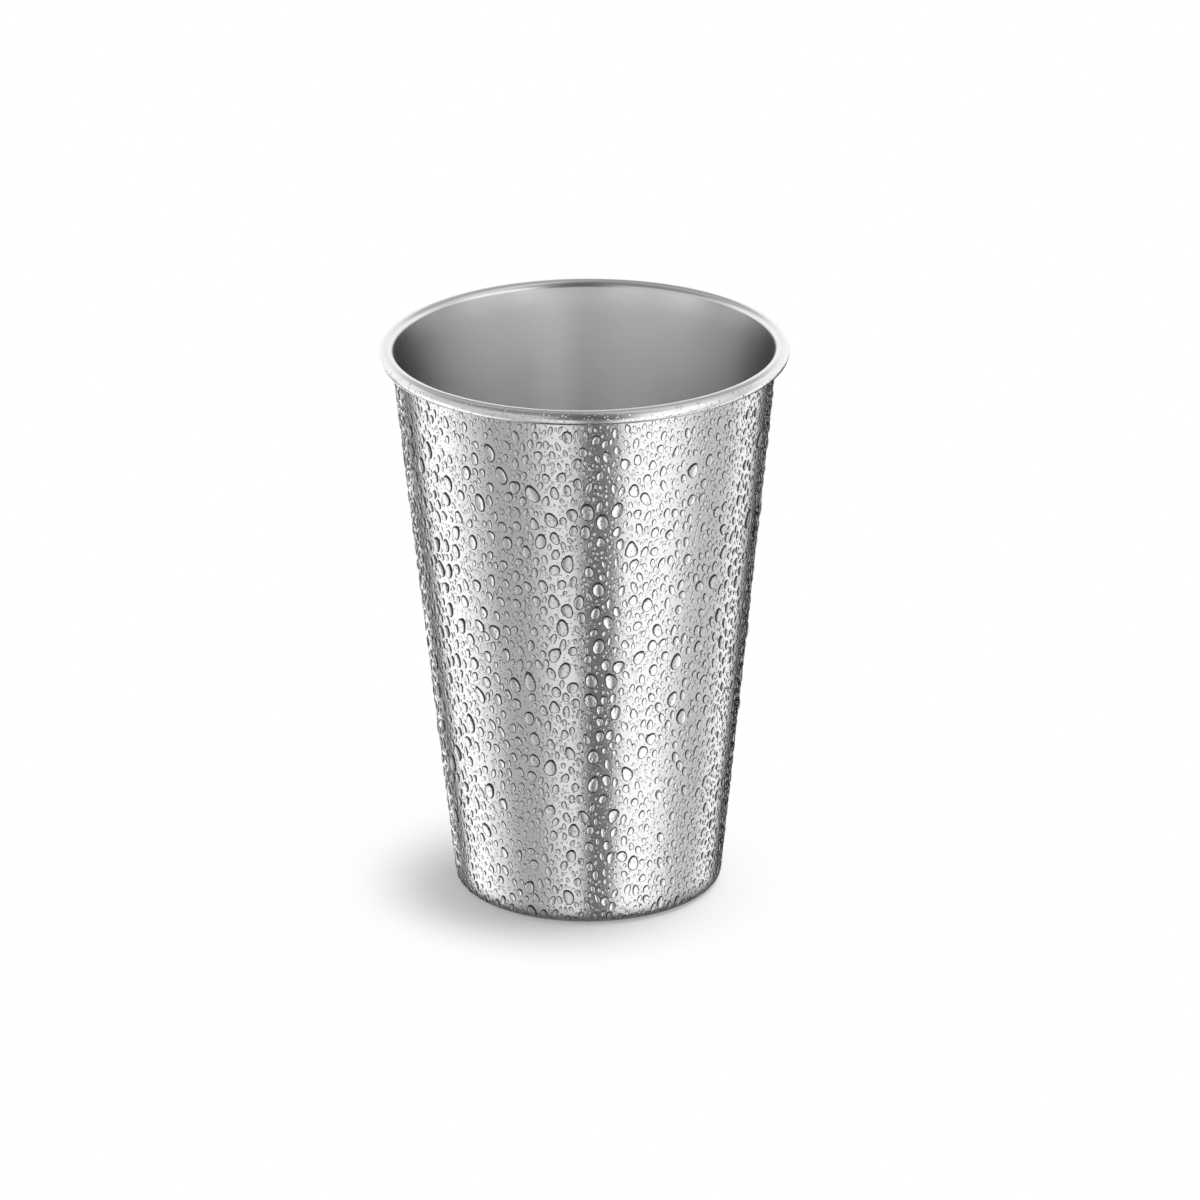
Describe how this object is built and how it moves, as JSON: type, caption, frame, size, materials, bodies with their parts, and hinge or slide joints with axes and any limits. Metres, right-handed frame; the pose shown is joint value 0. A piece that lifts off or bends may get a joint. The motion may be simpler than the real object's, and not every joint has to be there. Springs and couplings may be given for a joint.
{
  "type": "stainless steel cup",
  "caption": "Single-wall tapered stainless steel drinking cup with a lip rolled outwards over a wire and a welded, pressed base pan whose middle panel is raised above its standing ring.",
  "frame": {"origin": "Centre of the standing ring, on the surface that the cup stands on.", "axes": "+Z is the cup's axis, from the base to the open rim. The cup is round, so +X and +Y are free; -Y faces the viewer."},
  "size_m": [0.088, 0.088, 0.123],
  "materials": {
    "wall_steel": "satin",
    "base_steel": "satin",
    "wire_steel": "drawn"
  },
  "bodies": {
    "root": {"cup_wall": "wall_steel", "base_pan": "base_steel", "rim_wire": "wire_steel"}
  },
  "joints": []
}
